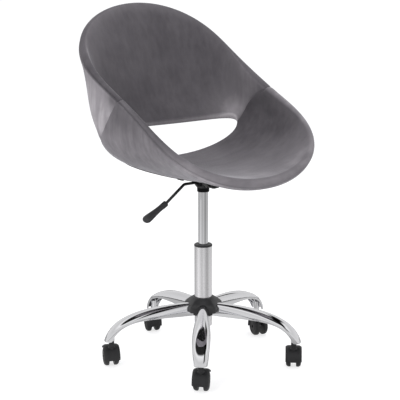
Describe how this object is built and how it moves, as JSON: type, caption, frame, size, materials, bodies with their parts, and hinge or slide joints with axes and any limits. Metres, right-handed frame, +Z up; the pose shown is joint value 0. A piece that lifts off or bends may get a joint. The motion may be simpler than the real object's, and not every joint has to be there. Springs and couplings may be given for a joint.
{
  "type": "swivel chair",
  "caption": "Height-adjustable swivel chair: open-backed padded velvet shell on a gas lift, with a star base of bent chrome legs on twin-wheel casters.",
  "frame": {"origin": "on the floor, on the axis of the gas lift's column", "axes": "+Z up along the column, -Y towards the front edge of the seat, -X towards the lever, at the sitter's right hand"},
  "size_m": [0.5614, 0.595, 0.993],
  "materials": {
    "velvet": "short-pile velvet, brushed",
    "velvet_outer": "short-pile velvet on the outer panels",
    "dust_cloth": "black non-woven dust cover",
    "plywood": "moulded plywood, unfinished",
    "chrome": "bright chrome plate on steel",
    "black_plastic": "moulded, fine grain",
    "caster_nylon": "moulded nylon, satin",
    "black_steel": "black powder coat",
    "zinc_steel": "zinc plated",
    "white_nylon": "plain moulded"
  },
  "bodies": {
    "base": {"hub_core": "black_steel", "hub_cover": "black_plastic", "outer_tube": "chrome", "guide_bush": "black_plastic", "thrust_bearing": "zinc_steel", "leg_1": "chrome", "leg_2": "chrome", "leg_3": "chrome", "leg_4": "chrome", "leg_5": "chrome", "socket_1": "chrome", "socket_2": "chrome", "socket_3": "chrome", "socket_4": "chrome", "socket_5": "chrome"},
    "rod": {"piston_rod": "zinc_steel", "retaining_clip": "zinc_steel"},
    "seat": {"gas_cylinder": "chrome", "seat_plate": "black_steel", "plate_spacers": "black_plastic", "plate_bolts": "zinc_steel", "threaded_inserts": "zinc_steel", "shell_core": "plywood", "seat_pad": "velvet", "back_pad": "velvet", "seat_cover": "velvet_outer", "back_cover": "velvet_outer", "under_cover": "dust_cloth", "pivot_pin": "zinc_steel"},
    "lever": {"lever_rod": "black_steel", "lever_grip": "black_plastic"},
    "button": {"release_button": "white_nylon"},
    "caster_1": {"caster_hood_1": "caster_nylon", "caster_stem_1": "zinc_steel", "axle_1": "zinc_steel"},
    "caster_1_wheel_l": {"wheel_l_1": "caster_nylon"},
    "caster_1_wheel_r": {"wheel_r_1": "caster_nylon"},
    "caster_2": {"caster_hood_2": "caster_nylon", "caster_stem_2": "zinc_steel", "axle_2": "zinc_steel"},
    "caster_2_wheel_l": {"wheel_l_2": "caster_nylon"},
    "caster_2_wheel_r": {"wheel_r_2": "caster_nylon"},
    "caster_3": {"caster_hood_3": "caster_nylon", "caster_stem_3": "zinc_steel", "axle_3": "zinc_steel"},
    "caster_3_wheel_l": {"wheel_l_3": "caster_nylon"},
    "caster_3_wheel_r": {"wheel_r_3": "caster_nylon"},
    "caster_4": {"caster_hood_4": "caster_nylon", "caster_stem_4": "zinc_steel", "axle_4": "zinc_steel"},
    "caster_4_wheel_l": {"wheel_l_4": "caster_nylon"},
    "caster_4_wheel_r": {"wheel_r_4": "caster_nylon"},
    "caster_5": {"caster_hood_5": "caster_nylon", "caster_stem_5": "zinc_steel", "axle_5": "zinc_steel"},
    "caster_5_wheel_l": {"wheel_l_5": "caster_nylon"},
    "caster_5_wheel_r": {"wheel_r_5": "caster_nylon"}
  },
  "joints": [
    {"name": "seat_swivel", "type": "hinge", "parent": "base", "child": "rod", "pos_m": [0, 0, 0.1], "axis": [0, 0, 1], "continuous": true},
    {"name": "seat_height", "type": "slide", "parent": "rod", "child": "seat", "axis": [0, 0, 1], "range_m": [-0.12, 0]},
    {"name": "lever_lift", "type": "hinge", "parent": "seat", "child": "lever", "pos_m": [-0.014, 0, 0.5138], "axis": [0, 1, 0], "range_deg": [0, 6], "stiffness_Nm_per_rad": 3, "springref_deg": -5.73},
    {"name": "button_press", "type": "slide", "parent": "seat", "child": "button", "axis": [0, 0, -1], "range_m": [0, 0.0018], "stiffness_N_per_m": 300, "springref_m": -0.001},
    {"name": "caster_1_swivel", "type": "hinge", "parent": "base", "child": "caster_1", "pos_m": [-0.16947, -0.20632, 0.0765], "axis": [0, 0, 1], "continuous": true},
    {"name": "caster_1_roll_l", "type": "hinge", "parent": "caster_1", "child": "caster_1_wheel_l", "pos_m": [-0.15796, -0.19521, 0.0275], "axis": [0.6947, -0.7193, 0], "continuous": true},
    {"name": "caster_1_roll_r", "type": "hinge", "parent": "caster_1", "child": "caster_1_wheel_r", "pos_m": [-0.15796, -0.19521, 0.0275], "axis": [0.6947, -0.7193, 0], "continuous": true},
    {"name": "caster_2_swivel", "type": "hinge", "parent": "base", "child": "caster_2", "pos_m": [0.14385, -0.22493, 0.0765], "axis": [0, 0, 1], "continuous": true},
    {"name": "caster_2_roll_l", "type": "hinge", "parent": "caster_2", "child": "caster_2_wheel_l", "pos_m": [0.15456, -0.21304, 0.0275], "axis": [0.7431, -0.6691, 0], "continuous": true},
    {"name": "caster_2_roll_r", "type": "hinge", "parent": "caster_2", "child": "caster_2_wheel_r", "pos_m": [0.15456, -0.21304, 0.0275], "axis": [0.7431, -0.6691, 0], "continuous": true},
    {"name": "caster_3_swivel", "type": "hinge", "parent": "base", "child": "caster_3", "pos_m": [0.25838, 0.0673, 0.0765], "axis": [0, 0, 1], "continuous": true},
    {"name": "caster_3_roll_l", "type": "hinge", "parent": "caster_3", "child": "caster_3_wheel_l", "pos_m": [0.25424, 0.05185, 0.0275], "axis": [-0.9659, 0.2588, 0], "continuous": true},
    {"name": "caster_3_roll_r", "type": "hinge", "parent": "caster_3", "child": "caster_3_wheel_r", "pos_m": [0.25424, 0.05185, 0.0275], "axis": [-0.9659, 0.2588, 0], "continuous": true},
    {"name": "caster_4_swivel", "type": "hinge", "parent": "base", "child": "caster_4", "pos_m": [0.01583, 0.26653, 0.0765], "axis": [0, 0, 1], "continuous": true},
    {"name": "caster_4_roll_l", "type": "hinge", "parent": "caster_4", "child": "caster_4_wheel_l", "pos_m": [0.02131, 0.28157, 0.0275], "axis": [0.9397, -0.342, 0], "continuous": true},
    {"name": "caster_4_roll_r", "type": "hinge", "parent": "caster_4", "child": "caster_4_wheel_r", "pos_m": [0.02131, 0.28157, 0.0275], "axis": [0.9397, -0.342, 0], "continuous": true},
    {"name": "caster_5_swivel", "type": "hinge", "parent": "base", "child": "caster_5", "pos_m": [-0.24859, 0.09742, 0.0765], "axis": [0, 0, 1], "continuous": true},
    {"name": "caster_5_roll_l", "type": "hinge", "parent": "caster_5", "child": "caster_5_wheel_l", "pos_m": [-0.24208, 0.11204, 0.0275], "axis": [0.9135, -0.4067, 0], "continuous": true},
    {"name": "caster_5_roll_r", "type": "hinge", "parent": "caster_5", "child": "caster_5_wheel_r", "pos_m": [-0.24208, 0.11204, 0.0275], "axis": [0.9135, -0.4067, 0], "continuous": true}
  ],
  "couplings": [
    {"joint": "button_press", "follows": "lever_lift", "m_per_rad": 0.014}
  ]
}
